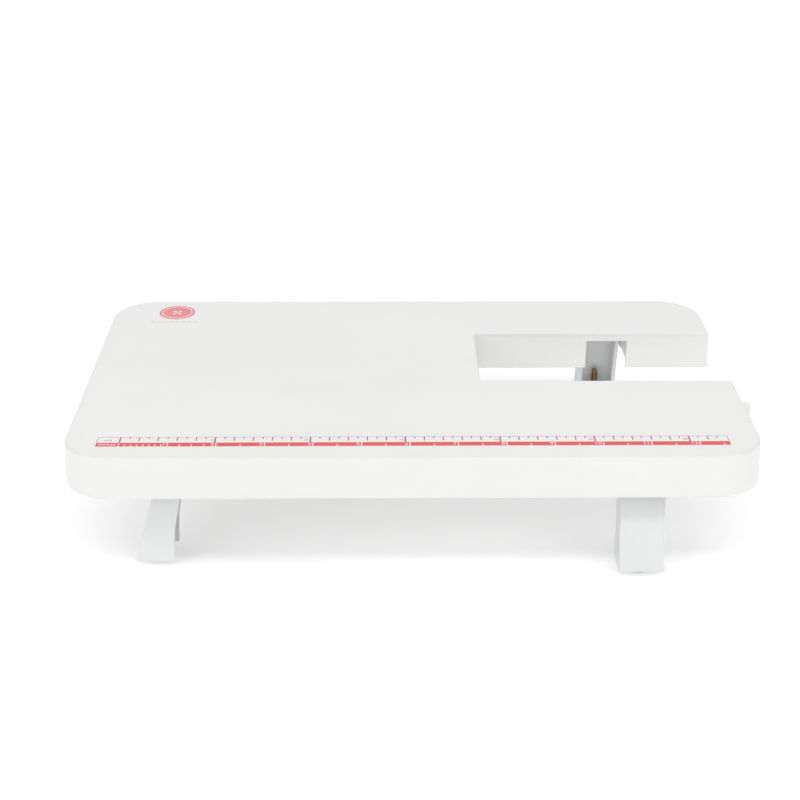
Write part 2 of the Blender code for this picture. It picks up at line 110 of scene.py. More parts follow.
# Legs
LEG_WIDTH = 23.6 * MM
LEG_WALL = 2.3 * MM
LEG_LEAN = math.radians(16.0)
PIVOT_TO_FACE = 8.3 * MM
PIVOT_TO_FREE_EDGE = 6.25 * MM
KNEE_BELOW_PIVOT = 16.4 * MM
WAIST_BELOW_PIVOT = 36.0 * MM
WAIST_FREE_EDGE = 2.1 * MM
FOOT_FREE_EDGE = 2.9 * MM
FOOT_TOE = 22.4 * MM
TOE_HEIGHT = 2.4 * MM
FLOOR_TO_LEG = 3.2 * MM
FOOT_FLOOR = 2.6 * MM
FOOT_FLOOR_START = 6.0 * MM
BOSS_RADIUS = 4.8 * MM
BOSS_TOP = 13.2 * MM
LEG_EDGE = 0.55 * MM
CHANNEL_FILLET = 0.7 * MM
FLOOR_FILLET = 1.0 * MM
KNEE_RADIUS = 9.0 * MM
WAIST_RADIUS = 12.0 * MM
FOOT_CORNER = 0.6 * MM
TOE_CORNER = 1.2 * MM
HEEL_CORNER = 1.6 * MM
RIM_BEVEL = 0.22 * MM

# Hardware
PIN_RADIUS = 1.5 * MM
PIN_CLEARANCE = 0.08 * MM
THREAD_PITCH = 0.7 * MM
THREAD_DEPTH = 0.38 * MM
THREAD_CREST = 0.12 * MM
SCREW_BORE = 2.05 * MM
INSERT_RADIUS = 3.0 * MM
INSERT_GAP = 0.1 * MM
INSERT_GROOVE = 0.35 * MM
KNURL_DEPTH = 0.18 * MM
PIN_CHAMFER = 0.35 * MM
PIN_DIMPLE = 0.3 * MM
STUD_CREST = 1.95 * MM
STUD_NECK = 0.7 * MM
STUD_EDGE = 0.12 * MM
KNOB_EDGE = 0.4 * MM
KNOB_PAD_GAP = 0.2 * MM
KNOB_SEAT_GAP = 0.15 * MM
KNOB_HEAD_DEPTH = 0.8 * MM
KNOB_FLUTES = 32
KNOB_FLUTE_DEPTH = 0.35 * MM
PAD_EDGE = 0.3 * MM
PAD_GROOVE = 0.35 * MM
PAD_GROOVE_SHARES = (0.72, 0.42)

# Print
RULER_END_CELL = 12.2 * MM
INCH = 25.4 * MM
CENTIMETRE = 10.0 * MM
INCH_BAND = 4.4 * MM
FILM = 0.06 * MM
INK = 0.02 * MM
TICK_WIDTH = 0.62 * MM
OUTLINE_WIDTH = 0.28 * MM
FILM_CORNER = 0.8 * MM
CENTIMETRE_DIGITS = 2.6 * MM
CENTIMETRE_WORD = 3.4 * MM
INCH_DIGITS = 4.0 * MM
INCH_WORD = 3.7 * MM
DIGIT_TO_TICK = 0.9 * MM
CENTIMETRE_DIGITS_UP = 0.45
INCH_DIGITS_UP = 0.52
WORD_DROP = 0.3 * MM
HALF_CENTIMETRE_TICK = 0.3
CENTIMETRE_TICK = 0.66
FIFTH_TICK_WIDENING = 1.3
INCH_TICK = 0.92
PART_INCH_TICK = 0.5
BUTTON_HOLE_OFFSET = 2.5 * MM
BUTTON_HOLE_RADIUS = 1.25 * MM
BUTTON_RIM_OUTSIDE = 0.86
BUTTON_RIM_INSIDE = 0.80
BUTTON_RIM_STEPS = 72
THREAD_REACH = 3.1 * MM
THREAD_WIDTH = 0.9 * MM
STITCH_COUNT = 8
STITCH_LENGTH = 2.4 * MM
STITCH_PITCH = 3.7 * MM
STITCH_RADIUS = 0.3 * MM
STITCHES_BELOW_BUTTON = 4.6 * MM

# Stage. A light is its name, power in watts, size and place, and it looks at the table.
CAMERA_PLACE = (-0.02005, -0.8370, 0.4409)
CAMERA_YAW = math.radians(-0.874)
CAMERA_PITCH = math.radians(65.2)
CAMERA_ROLL = math.radians(0.226)
CAMERA_LENS = 71.06
FLOOR_HALF_SIZE = 6.0
FLOOR_GLOW = 0.228
WORLD_STRENGTH = 0.48
LIGHT_TARGET = (0.0, 0.0, 0.05)
LIGHTS = (
    ("front softbox", 2.6, (2.2, 1.2), (0.0, -1.9, 1.3)),
    ("front left softbox", 9.4, (1.6, 1.2), (-1.7, -1.5, 1.1)),
    ("front right softbox", 9.2, (1.6, 1.2), (1.7, -1.5, 1.1)),
    ("overhead strip", 12.0, (2.4, 0.4), (0.0, -1.0, 1.9)),
    ("left softbox", 3.6, (1.6, 1.6), (-1.5, 0.1, 1.5)),
    ("right softbox", 2.6, (1.6, 1.6), (1.5, 0.1, 1.5)),
    ("back softbox", 9.6, (2.4, 1.2), (0.0, 1.8, 1.2)),
)

UP = Vector((0.0, 0.0, 1.0))

TOP_LOW, TOP_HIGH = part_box("table_top")
TOP = TOP_HIGH.z
SKIRT_DEPTH = TOP - TOP_LOW.z
LEFT = TOP_LOW.x + SKIRT_DRAFT
RIGHT = TOP_HIGH.x - TAB_REACH - SKIRT_DRAFT
FRONT = TOP_LOW.y + SKIRT_DRAFT
BACK = TOP_HIGH.y - SKIRT_DRAFT
CUTOUT_LEFT = RIGHT - CUTOUT_LENGTH
CUTOUT_FRONT = FRONT + FRONT_ARM_DEPTH
CUTOUT_BACK = BACK - BACK_ARM_DEPTH

JOINTS = {joint["name"]: joint for joint in frame["joints"]}
LEGS = ("front_left", "front_right", "back_right", "back_left")


# ---------------------------------------------------------------- meshes


def finish_mesh(name, bm, materials, smooth=35.0):
    """Make an object of a bmesh. Faces that meet at less than smooth degrees are shaded as one."""
    bmesh.ops.recalc_face_normals(bm, faces=bm.faces)
    mesh = bpy.data.meshes.new(name)
    bm.to_mesh(mesh)
    bm.free()
    for material in materials:
        mesh.materials.append(material)
    obj = bpy.data.objects.new(name, mesh)
    bpy.context.scene.collection.objects.link(obj)
    shade(obj, smooth)
    return obj


def shade(obj, smooth):
    obj.data.shade_smooth()
    obj.data.set_sharp_from_angle(angle=math.radians(smooth))


def bake_modifiers(obj):
    """Replace an object's mesh with what its modifiers make of it."""
    graph = bpy.context.evaluated_depsgraph_get()
    mesh = bpy.data.meshes.new_from_object(obj.evaluated_get(graph))
    mesh.name = obj.data.name
    obj.modifiers.clear()
    obj.data = mesh


def weigh_normals(obj):
    """Keep large flat faces flat where they run into small roundings."""
    modifier = obj.modifiers.new("Weighted normals", "WEIGHTED_NORMAL")
    modifier.keep_sharp = True
    modifier.weight = 100
    bake_modifiers(obj)


def combine(obj, operation, shapes):
    """Union or difference with all these bmeshes in one step."""
    group = bpy.data.collections.new(f"{obj.name} {operation}")
    bpy.context.scene.collection.children.link(group)
    helpers = []
    for bm in shapes:
        bmesh.ops.recalc_face_normals(bm, faces=bm.faces)
        mesh = bpy.data.meshes.new("helper")
        bm.to_mesh(mesh)
        bm.free()
        helper = bpy.data.objects.new("helper", mesh)
        group.objects.link(helper)
        helpers.append(helper)
    modifier = obj.modifiers.new(operation, "BOOLEAN")
    modifier.operation = operation
    modifier.solver = "EXACT"
    modifier.operand_type = "COLLECTION"
    modifier.collection = group
    bake_modifiers(obj)
    for helper in helpers:
        mesh = helper.data
        bpy.data.objects.remove(helper)
        bpy.data.meshes.remove(mesh)
    bpy.data.collections.remove(group)


def round_edges(bm, edges, rounding, segments):
    bmesh.ops.bevel(bm, geom=edges, offset=rounding, segments=segments, profile=0.5, affect="EDGES")


def box(low, high, rounding=0.0, segments=2):
    bm = bmesh.new()
    bmesh.ops.create_cube(bm, size=1.0)
    size = Vector(high) - Vector(low)
    middle = (Vector(high) + Vector(low)) / 2
    bmesh.ops.transform(bm, matrix=Matrix.LocRotScale(middle, None, size), verts=bm.verts)
    if rounding:
        round_edges(bm, list(bm.edges), rounding, segments)
    return bm


def disc(radius, bottom, top, centre=(0.0, 0.0), sides=48):
    bm = bmesh.new()
    place = Matrix.Translation((centre[0], centre[1], (bottom + top) / 2))
    bmesh.ops.create_cone(
        bm, cap_ends=True, segments=sides, radius1=radius, radius2=radius, depth=top - bottom, matrix=place
    )
    return bm


def turned(profile, sides, flutes=0, flute_depth=0.0, fluted_from=math.inf):
    """A solid of revolution about Z. Points at least fluted_from out take the flutes of a grip."""
    bm = bmesh.new()
    rings = []
    for radius, height in profile:
        if radius == 0.0:
            rings.append([bm.verts.new((0.0, 0.0, height))])
            continue
        ring = []
        for i in range(sides):
            angle = 2 * math.pi * i / sides
            groove = flute_depth * (0.5 - 0.5 * math.cos(flutes * angle)) if radius >= fluted_from else 0.0
            reach = radius - groove
            ring.append(bm.verts.new((reach * math.cos(angle), reach * math.sin(angle), height)))
        rings.append(ring)
    pairs = list(zip(rings, rings[1:]))
    if profile[0][0] > 0.0:
        pairs.append((rings[-1], rings[0]))
    for first, second in pairs:
        for i in range(sides):
            j = (i + 1) % sides
            upper = [first[i % len(first)], first[j % len(first)]]
            lower = [second[j % len(second)], second[i % len(second)]]
            bm.faces.new(list(dict.fromkeys(upper + lower)))
    return bm


def arc(centre, radius, first, last, steps):
    """Points of an arc, angles in radians."""
    angles = [first + (last - first) * i / steps for i in range(steps + 1)]
    return [(centre[0] + radius * math.cos(a), centre[1] + radius * math.sin(a)) for a in angles]


def corner_arc(corner, radius, start, turn, steps):
    """Round the corner of an outline whose sides lie along X and Y. Angles are in degrees."""
    first, last = math.radians(start), math.radians(start + turn)
    centre = (
        corner[0] - radius * (math.cos(first) + math.cos(last)),
        corner[1] - radius * (math.sin(first) + math.sin(last)),
    )
    return arc(centre, radius, first, last, steps)


def soften(outline, radii, steps=5):
    """Round the corners of a closed outline. A corner whose radius is None stays as it is."""
    points = []
    for i, corner in enumerate(outline):
        if radii[i] is None:
            points.append(corner)
            continue
        here = Vector(corner)
        before = (Vector(outline[i - 1]) - here).normalized()
        after = (Vector(outline[(i + 1) % len(outline)]) - here).normalized()
        half = before.angle(after) / 2
        centre = here + (before + after).normalized() * radii[i] / math.sin(half)
        start = here + before * radii[i] / math.tan(half) - centre
        end = here + after * radii[i] / math.tan(half) - centre
        turn = math.atan2(start.x * end.y - start.y * end.x, start.dot(end))
        for k in range(steps + 1):
            spun = start.copy()
            spun.rotate(Matrix.Rotation(turn * k / steps, 2))
            points.append(tuple(centre + spun))
    return points


def prism(points, half_width, rounding=0.0, segments=4):
    """Extrude a closed outline in the XZ plane along Y and round the two rims."""
    bm = bmesh.new()
    near = [bm.verts.new((x, -half_width, z)) for x, z in points]
    far = [bm.verts.new((x, half_width, z)) for x, z in points]
    caps = [bm.faces.new(near), bm.faces.new(reversed(far))]
    for i in range(len(points)):
        j = (i + 1) % len(points)
        bm.faces.new((near[i], far[i], far[j], near[j]))
    if rounding:
        round_edges(bm, list({edge for cap in caps for edge in cap.edges}), rounding, segments)
    return bm


def place(obj, matrix):
    obj.matrix_world = matrix
    return obj


def leg_frame(name):
    """The leg's own directions: +X the way its closed face looks, Y along its pin, Z up from the floor."""
    pin = JOINTS[f"fold_{name}"]
    axis = Vector(pin["axis"])
    outward = axis.cross(UP)
    x, y, _ = pin["pos_m"]
    turn = math.atan2(outward.y, outward.x)
    return Matrix.Translation((x, y, 0.0)) @ Matrix.Rotation(turn, 4, "Z")


def foot_axis(name):
    x, y, _ = JOINTS[f"screw_{name}"]["pos_m"]
    return Matrix.Translation((x, y, 0.0))


# ---------------------------------------------------------------- materials


class Nodes:
    """A material's node tree, with short ways to add nodes and to link them."""

    def __init__(self, name):
        self.material = bpy.data.materials.new(name)
        self.material.use_nodes = True
        self.tree = self.material.node_tree
        self.shader = self.tree.nodes["Principled BSDF"]

    def add(self, kind, links=None, **values):
        node = self.tree.nodes.new(f"ShaderNode{kind}")
        for key, value in values.items():
            if hasattr(node, key):
                setattr(node, key, value)
            else:
                node.inputs[key.replace("_", " ").title()].default_value = value
        for key, socket in (links or {}).items():
            self.tree.links.new(socket, node.inputs[key])
        return node

    def set(self, **values):
        for key, value in values.items():
            self.shader.inputs[key.replace("_", " ")].default_value = value

    def link(self, socket, target):
        self.tree.links.new(socket, self.shader.inputs[target])

    def coordinates(self, stretch=(1.0, 1.0, 1.0)):
        where = self.add("TexCoord")
        if stretch == (1.0, 1.0, 1.0):
            return where.outputs["Object"]
        mapping = self.add("Mapping", {"Vector": where.outputs["Object"]}, Scale=stretch)
        return mapping.outputs["Vector"]

    def noise(self, scale, detail=2.0, stretch=(1.0, 1.0, 1.0), roughness=0.5):
        links = {"Vector": self.coordinates(stretch)}
        node = self.add("TexNoise", links, Scale=scale, Detail=detail, Roughness=roughness)
        return node.outputs["Fac"]

    def ramp(self, socket, low, high, first, last):
        """Blend from the first colour to the last while the socket's value goes from low to high."""
        node = self.add("ValToRGB", {"Fac": socket})
        stops = node.color_ramp.elements
        stops[0].position, stops[1].position = low, high
        stops[0].color, stops[1].color = (*first, 1.0), (*last, 1.0)
        return node.outputs["Color"]

    def span(self, socket, low, high):
        """Map a noise's usual values onto the range from low to high."""
        node = self.add("MapRange", {"Value": socket})
        node.inputs["From Min"].default_value = 0.3
        node.inputs["From Max"].default_value = 0.7
        node.inputs["To Min"].default_value = low
        node.inputs["To Max"].default_value = high
        return node.outputs["Result"]

    def bump(self, socket, height, strength=1.0, under=None):
        links = {"Height": socket}
        if under is not None:
            links["Normal"] = under
        node = self.add("Bump", links)
        node.inputs["Strength"].default_value = strength
        node.inputs["Distance"].default_value = height
        return node.outputs["Normal"]


def moulded_plastic(name, light, dark, rough, grain):
    """Moulded white plastic: faint flow clouding, a fine spark-eroded grain and light handling marks."""
    nodes = Nodes(name)
    flow = nodes.noise(9.0, detail=4.0, stretch=(1.0, 2.2, 1.0))
    nodes.link(nodes.ramp(flow, 0.3, 0.7, dark, light), "Base Color")
    marks = nodes.noise(55.0, detail=4.0, stretch=(1.0, 4.0, 1.0), roughness=0.5)
    nodes.link(nodes.span(marks, rough - 0.02, rough + 0.03), "Roughness")
    fine = nodes.bump(nodes.noise(grain, detail=2.0), 0.012 * MM, strength=0.5)
    soft = nodes.bump(nodes.noise(60.0, detail=1.0), 0.05 * MM, strength=0.25, under=fine)
    nodes.link(soft, "Normal")
    nodes.set(IOR=1.49)
    return nodes.material


def printed_ink(name, light, dark, rough):
    """Screen-printed ink: small changes of density and a slightly uneven skin."""
    nodes = Nodes(name)
    density = nodes.noise(420.0, detail=3.0)
    nodes.link(nodes.ramp(density, 0.32, 0.68, dark, light), "Base Color")
    nodes.link(nodes.span(nodes.noise(900.0), rough - 0.05, rough + 0.05), "Roughness")
    nodes.link(nodes.bump(nodes.noise(1800.0, detail=2.0), 0.006 * MM, strength=0.4), "Normal")
    return nodes.material


def worked_metal(name, light, dark, rough, stretch, coarse=240.0):
    """Drawn or turned metal: tarnish clouds, and fine lines along the way it was worked."""
    nodes = Nodes(name)
    tarnish = nodes.noise(coarse, detail=5.0, roughness=0.6)
    nodes.link(nodes.ramp(tarnish, 0.35, 0.68, dark, light), "Base Color")
    lines = nodes.noise(900.0, detail=2.0, stretch=stretch)
    nodes.link(nodes.span(lines, rough - 0.08, rough + 0.12), "Roughness")
    nodes.link(nodes.bump(lines, 0.008 * MM, strength=0.5), "Normal")
    nodes.set(Metallic=1.0)
    return nodes.material


def soft_rubber(name, light, dark):
    """Matt moulded rubber with a pebbled skin and a little dust."""
    nodes = Nodes(name)
    dust = nodes.noise(180.0, detail=5.0)
    nodes.link(nodes.ramp(dust, 0.35, 0.7, dark, light), "Base Color")
    nodes.link(nodes.span(dust, 0.68, 0.86), "Roughness")
    nodes.link(nodes.bump(nodes.noise(2200.0), 0.02 * MM, strength=0.6), "Normal")
    return nodes.material


WHITE = moulded_plastic("white plastic", (0.81, 0.808, 0.802), (0.785, 0.786, 0.779), 0.34, 2400.0)
LEG_WHITE = moulded_plastic("leg plastic", (0.76, 0.77, 0.772), (0.73, 0.74, 0.742), 0.42, 1900.0)
KNOB_WHITE = moulded_plastic("knob plastic", (0.74, 0.745, 0.735), (0.70, 0.705, 0.70), 0.5, 1700.0)
RED_INK = printed_ink("red ink", (0.77, 0.045, 0.05), (0.72, 0.035, 0.04), 0.42)
EMBLEM_INK = printed_ink("emblem ink", (0.82, 0.22, 0.25), (0.78, 0.19, 0.22), 0.42)
MARK_INK = printed_ink("mark ink", (0.46, 0.035, 0.075), (0.40, 0.025, 0.06), 0.42)
WHITE_INK = printed_ink("white ink", (0.86, 0.85, 0.84), (0.82, 0.81, 0.80), 0.42)
GREY_INK = printed_ink("grey ink", (0.50, 0.44, 0.44), (0.44, 0.38, 0.38), 0.45)
RULER_FILM = printed_ink("ruler film", (0.80, 0.815, 0.80), (0.785, 0.80, 0.785), 0.35)
STEEL = worked_metal("pin steel", (0.62, 0.62, 0.63), (0.48, 0.48, 0.49), 0.28, (1.0, 1.0, 0.06))
BRASS = worked_metal("brass", (0.42, 0.29, 0.105), (0.24, 0.155, 0.055), 0.32, (0.06, 0.06, 1.0))
RUBBER = soft_rubber("pad rubber", (0.56, 0.56, 0.55), (0.47, 0.47, 0.46))


# ---------------------------------------------------------------- the top moulding


def top_ring(bm, outer, outer_depth, cutout, cutout_depth):
    """One loop round the top, anticlockwise. The outer walls stand outer beyond the plan outline and
    the cutout's walls stand cutout beyond it, each at its own depth below the top."""
    left, right = LEFT - outer, RIGHT + outer
    front, back = FRONT - outer, BACK + outer
    slot_left = CUTOUT_LEFT + cutout
    slot_front, slot_back = CUTOUT_FRONT + cutout, CUTOUT_BACK - cutout
    wide = CORNER_RADIUS + outer
    tip = max(ARM_TIP_RADIUS + min(outer, cutout), LEAST_RADIUS)
    inner = CUTOUT_CORNER - cutout
    # x, y, radius, first angle, turn, steps, then how far the depth has gone from the outer wall's
    # to the cutout's at the two ends of the arc
    many, few = WIDE_CORNER_STEPS, SMALL_CORNER_STEPS
    corners = (
        (left, front, wide, 180, 90, many, 0, 0),
        (right, front, wide, 270, 90, many, 0, 0),
        (right, slot_front, tip, 0, 90, few, 0, 1),
        (slot_left, slot_front, inner, 270, -90, few, 1, 1),
        (slot_left, slot_back, inner, 180, -90, few, 1, 1),
        (right, slot_back, tip, 270, 90, few, 1, 0),
        (right, back, wide, 0, 90, many, 0, 0),
        (left, back, wide, 90, 90, many, 0, 0),
    )
    ring = []
    for x, y, radius, start, turn, steps, share_first, share_last in corners:
        for i, (px, py) in enumerate(corner_arc((x, y), radius, start, turn, steps)):
            share = share_first + (share_last - share_first) * i / steps
            depth = outer_depth + (cutout_depth - outer_depth) * share
            ring.append(bm.verts.new((px, py, TOP - depth)))
    return ring


def top_sections():
    """The wall's section as (outer, depth) and (cutout, depth) pairs: over the edge, down the skirt,
    round its end and up inside to the fillet under the plate."""
    quarter = [math.pi / 2 * i / SECTION_STEPS for i in range(SECTION_STEPS + 1)]

    def draft(depth):
        return SKIRT_DRAFT * depth / SKIRT_DEPTH

    for a in quarter:
        drop, reach = 1 - math.cos(a), math.sin(a) - 1
        outer = (EDGE_ROUNDING * reach, EDGE_ROUNDING * drop)
        yield outer, (CUTOUT_ROUNDING * reach, CUTOUT_ROUNDING * drop)
    for lip, depth in ((0.0, LIP_HEIGHT), (CUTOUT_LIP, LIP_HEIGHT + LIP_SLOPE)):
        outer_depth = EDGE_ROUNDING + depth
        yield (draft(outer_depth), outer_depth), (-lip, depth)
    middle = SKIRT_DEPTH / 2
    yield (draft(middle), middle), (-CUTOUT_LIP, middle)
    end = SKIRT_END_ROUNDING
    bottom_out, bottom_in = SKIRT_DRAFT, SKIRT_DRAFT - SKIRT_WALL
    slot_out, slot_in = -CUTOUT_LIP, -CUTOUT_LIP - SKIRT_WALL
    for a in quarter:
        depth = SKIRT_DEPTH - end + end * math.sin(a)
        back = end * (1 - math.cos(a))
        yield (bottom_out - back, depth), (slot_out - back, depth)
    for a in reversed(quarter):
        depth = SKIRT_DEPTH - end + end * math.sin(a)
        back = end * (1 - math.cos(a))
        yield (bottom_in + back, depth), (slot_in + back, depth)
    fillet = INSIDE_FILLET
    for a in quarter:
        depth = PLATE_THICKNESS + fillet * (1 - math.sin(a))
        back = fillet * (1 - math.cos(a))
        yield (-SKIRT_WALL - INNER_DRAFT - back, depth), (slot_in - INNER_DRAFT - back, depth)


def top_shell():
    bm = bmesh.new()
    rings = [top_ring(bm, *outer, *cutout) for outer, cutout in top_sections()]
    bm.faces.new(rings[0])
    bm.faces.new(reversed(rings[-1]))
    for upper, lower in zip(rings, rings[1:]):
        for i in range(len(upper)):
            j = (i + 1) % len(upper)
            bm.faces.new((upper[i], lower[i], lower[j], upper[j]))
    return bm


def bay_shapes(name):
    """The walls, bearing lugs and stop of one leg's bay."""
    frame_matrix = leg_frame(name)
    pivot = JOINTS[f"fold_{name}"]["pos_m"]
    half = BAY_WIDTH / 2
    stop_below_pivot = pivot[2] - (TOP - STOP_DEPTH)
    stop_u = PIVOT_TO_FACE / math.cos(LEG_LEAN) + stop_below_pivot * math.tan(LEG_LEAN) + STOP_GAP
    outer_end = stop_u + STOP_THICKNESS
    inner_ends = {
        "front_right": pivot[1] - (CUTOUT_FRONT - SKIRT_WALL - CUTOUT_LIP + ROOT),
        "back_right": CUTOUT_BACK + SKIRT_WALL + CUTOUT_LIP - ROOT - pivot[1],
    }
    inner_end = inner_ends.get(name, -BAY_LENGTH_LEFT)
    root = TOP - PLATE_THICKNESS + ROOT
    lug_root = (TOP - BAY_DEPTH + pivot[2]) / 2
    inset = BAY_WALL / 8
    shapes = []
    for side in (-1, 1):
        near, far = sorted((side * half, side * (half + BAY_WALL)))
        shapes.append(box((inner_end, near, TOP - BAY_DEPTH), (outer_end + ROOT, far, root), BREAK))
        lug_low = (-BEARING_HALF_WIDTH, near + inset, TOP - BEARING_DEPTH)
        shapes.append(box(lug_low, (BEARING_HALF_WIDTH, far - inset, lug_root), BREAK * 2, 3))
    reach = half + BAY_WALL / 2
    shapes.append(box((stop_u, -reach, TOP - STOP_DEPTH), (outer_end, reach, root - inset), BREAK))
    for bm in shapes:
        bmesh.ops.transform(bm, matrix=frame_matrix, verts=bm.verts)
    return shapes


def rib_shapes():
    """The low ribs under the plate, kept out of the leg bays."""
    plate = TOP - PLATE_THICKNESS
    low, high = plate - RIB_HEIGHT, plate + ROOT / 2
    long_low, long_high = plate - LONG_RIB_HEIGHT, plate + ROOT / 4
    half = RIB_WIDTH / 2
    skirt = SKIRT_WALL + INNER_DRAFT - ROOT
    slot = SKIRT_WALL + CUTOUT_LIP - ROOT
    slot_left = CUTOUT_LEFT - slot
    pin_x, pin_y, _ = JOINTS["fold_front_left"]["pos_m"]
    inner_depth = -pin_y - BAY_WIDTH / 2 - BAY_WALL
    crossing = (pin_x + BAY_LENGTH_LEFT + slot_left) / 2
    spans = [((crossing - half, FRONT + skirt, low), (crossing + half, BACK - skirt, high))]
    for y in (-inner_depth / 2, 0.0, inner_depth / 2):
        spans.append(((LEFT + skirt, y - half, long_low), (slot_left, y + half, long_high)))
    bay_left = JOINTS["fold_back_right"]["pos_m"][0] - BAY_WIDTH / 2 - BAY_WALL
    bay_right = bay_left + BAY_WIDTH + 2 * BAY_WALL
    for start, end in ((FRONT + skirt, CUTOUT_FRONT - slot), (CUTOUT_BACK + slot, BACK - skirt)):
        for x in ((slot_left + bay_left) / 2, (bay_right + RIGHT) / 2):
            spans.append(((x - half, start, low), (x + half, end, high)))
        near, far = (start + end) / 2 - half, (start + end) / 2 + half
        spans.append(((crossing, near, long_low), (bay_left + ROOT, far, long_high)))
        spans.append(((bay_right - ROOT, near, long_low), (RIGHT - skirt, far, long_high)))
    return [box(low_corner, high_corner, BREAK) for low_corner, high_corner in spans]


def tab_shape():
    y = FRONT + TAB_FROM_FRONT
    low = (RIGHT - SKIRT_WALL / 2, y, TOP - TAB_HEIGHT)
    high = (TOP_HIGH.x, y + TAB_THICKNESS, TOP - CUTOUT_ROUNDING)
    return box(low, high, CUTOUT_ROUNDING, 3)


def pin_hole(name, radius, half_length):
    bm = disc(radius, -half_length, half_length)
    rise = Matrix.Translation((0.0, 0.0, JOINTS[f"fold_{name}"]["pos_m"][2]))
    turn = Matrix.Rotation(math.pi / 2, 4, "X")
    bmesh.ops.transform(bm, matrix=leg_frame(name) @ rise @ turn, verts=bm.verts)
    return bm


def ejector_marks():
    """Shallow round marks that the mould's ejector pins leave under the plate."""
    plate = TOP - PLATE_THICKNESS
    places = [(LEFT + x, side * EJECTOR_SPREAD) for x in EJECTOR_COLUMNS for side in (-1, 1)]
    places += [(CUTOUT_LEFT - EJECTOR_SPREAD, side * EJECTOR_OUTER_SPREAD) for side in (-1, 1)]
    arm_columns = (CUTOUT_LEFT + EJECTOR_IN_CORNER, RIGHT - EJECTOR_FROM_RIGHT)
    arm_rows = (FRONT + EJECTOR_FROM_FRONT, BACK - EJECTOR_FROM_BACK)
    places += [(x, y) for x in arm_columns for y in arm_rows]
    return [disc(EJECTOR_RADIUS, plate - EJECTOR_DEPTH, plate + EJECTOR_DEPTH, centre) for centre in places]


def make_top():
    top = finish_mesh("top_moulding", top_shell(), [WHITE])
    additions = [shape for name in LEGS for shape in bay_shapes(name)] + rib_shapes() + [tab_shape()]
    combine(top, "UNION", additions)
    notch_x = JOINTS["fold_back_right"]["pos_m"][0]
    notch_low = (notch_x - BAY_WIDTH / 2, CUTOUT_BACK - SKIRT_WALL, TOP - SKIRT_DEPTH - SKIRT_WALL)
    notch_y = CUTOUT_BACK + CUTOUT_LIP + SKIRT_WALL + INNER_DRAFT + ROOT
    notch_high = (notch_x + BAY_WIDTH / 2, notch_y, TOP - NOTCH_BELOW_TOP)
    reach = BAY_WIDTH / 2 + 2 * BAY_WALL
    pin_holes = [pin_hole(name, PIN_RADIUS + PIN_CLEARANCE, reach) for name in LEGS]
    combine(top, "DIFFERENCE", [box(notch_low, notch_high)] + pin_holes + ejector_marks())
    shade(top, 35.0)
    weigh_normals(top)
    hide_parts("table_top")
    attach(top, "table")


# ---------------------------------------------------------------- print


class Print:
    """One colour of print: slabs of ink and characters, gathered into a single piece."""

    def __init__(self, name, material, bottom, top):
        self.name, self.material = name, material
        self.bottom, self.top = bottom, top
        self.bm = bmesh.new()

    def slab(self, x_low, y_low, x_high, y_high):
        self.outline([(x_low, y_low), (x_high, y_low), (x_high, y_high), (x_low, y_high)])

    def outline(self, points):
        low = [self.bm.verts.new((x, y, self.bottom)) for x, y in points]
        high = [self.bm.verts.new((x, y, self.top)) for x, y in points]
        self.bm.faces.new(reversed(low))
        self.bm.faces.new(high)
        for i in range(len(points)):
            j = (i + 1) % len(points)
            self.bm.faces.new((low[i], low[j], high[j], high[i]))

    def characters(self, text, x, y, height, align="CENTER"):
        """Generic characters, with (x, y) at the middle or the right-hand end of their line."""
        curve = bpy.data.curves.new("characters", "FONT")
        curve.body = text
        curve.size = height
        curve.align_x = align
        curve.align_y = "CENTER"
        curve.fill_mode = "BOTH"
        curve.extrude = (self.top - self.bottom) / 2
        curve.resolution_u = 3
        obj = bpy.data.objects.new("characters", curve)
        bpy.context.scene.collection.objects.link(obj)
        graph = bpy.context.evaluated_depsgraph_get()
        mesh = bpy.data.meshes.new_from_object(obj.evaluated_get(graph))
        mesh.transform(Matrix.Translation((x, y, (self.bottom + self.top) / 2)))
        self.bm.from_mesh(mesh)
        bpy.data.objects.remove(obj)
        bpy.data.curves.remove(curve)
        bpy.data.meshes.remove(mesh)

    def done(self, node=None):
        bmesh.ops.remove_doubles(self.bm, verts=self.bm.verts, dist=1e-7)
        piece = finish_mesh(self.name, self.bm, [self.material], smooth=20.0)
        if node:
            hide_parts(node)
        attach(piece, "table")
        return piece


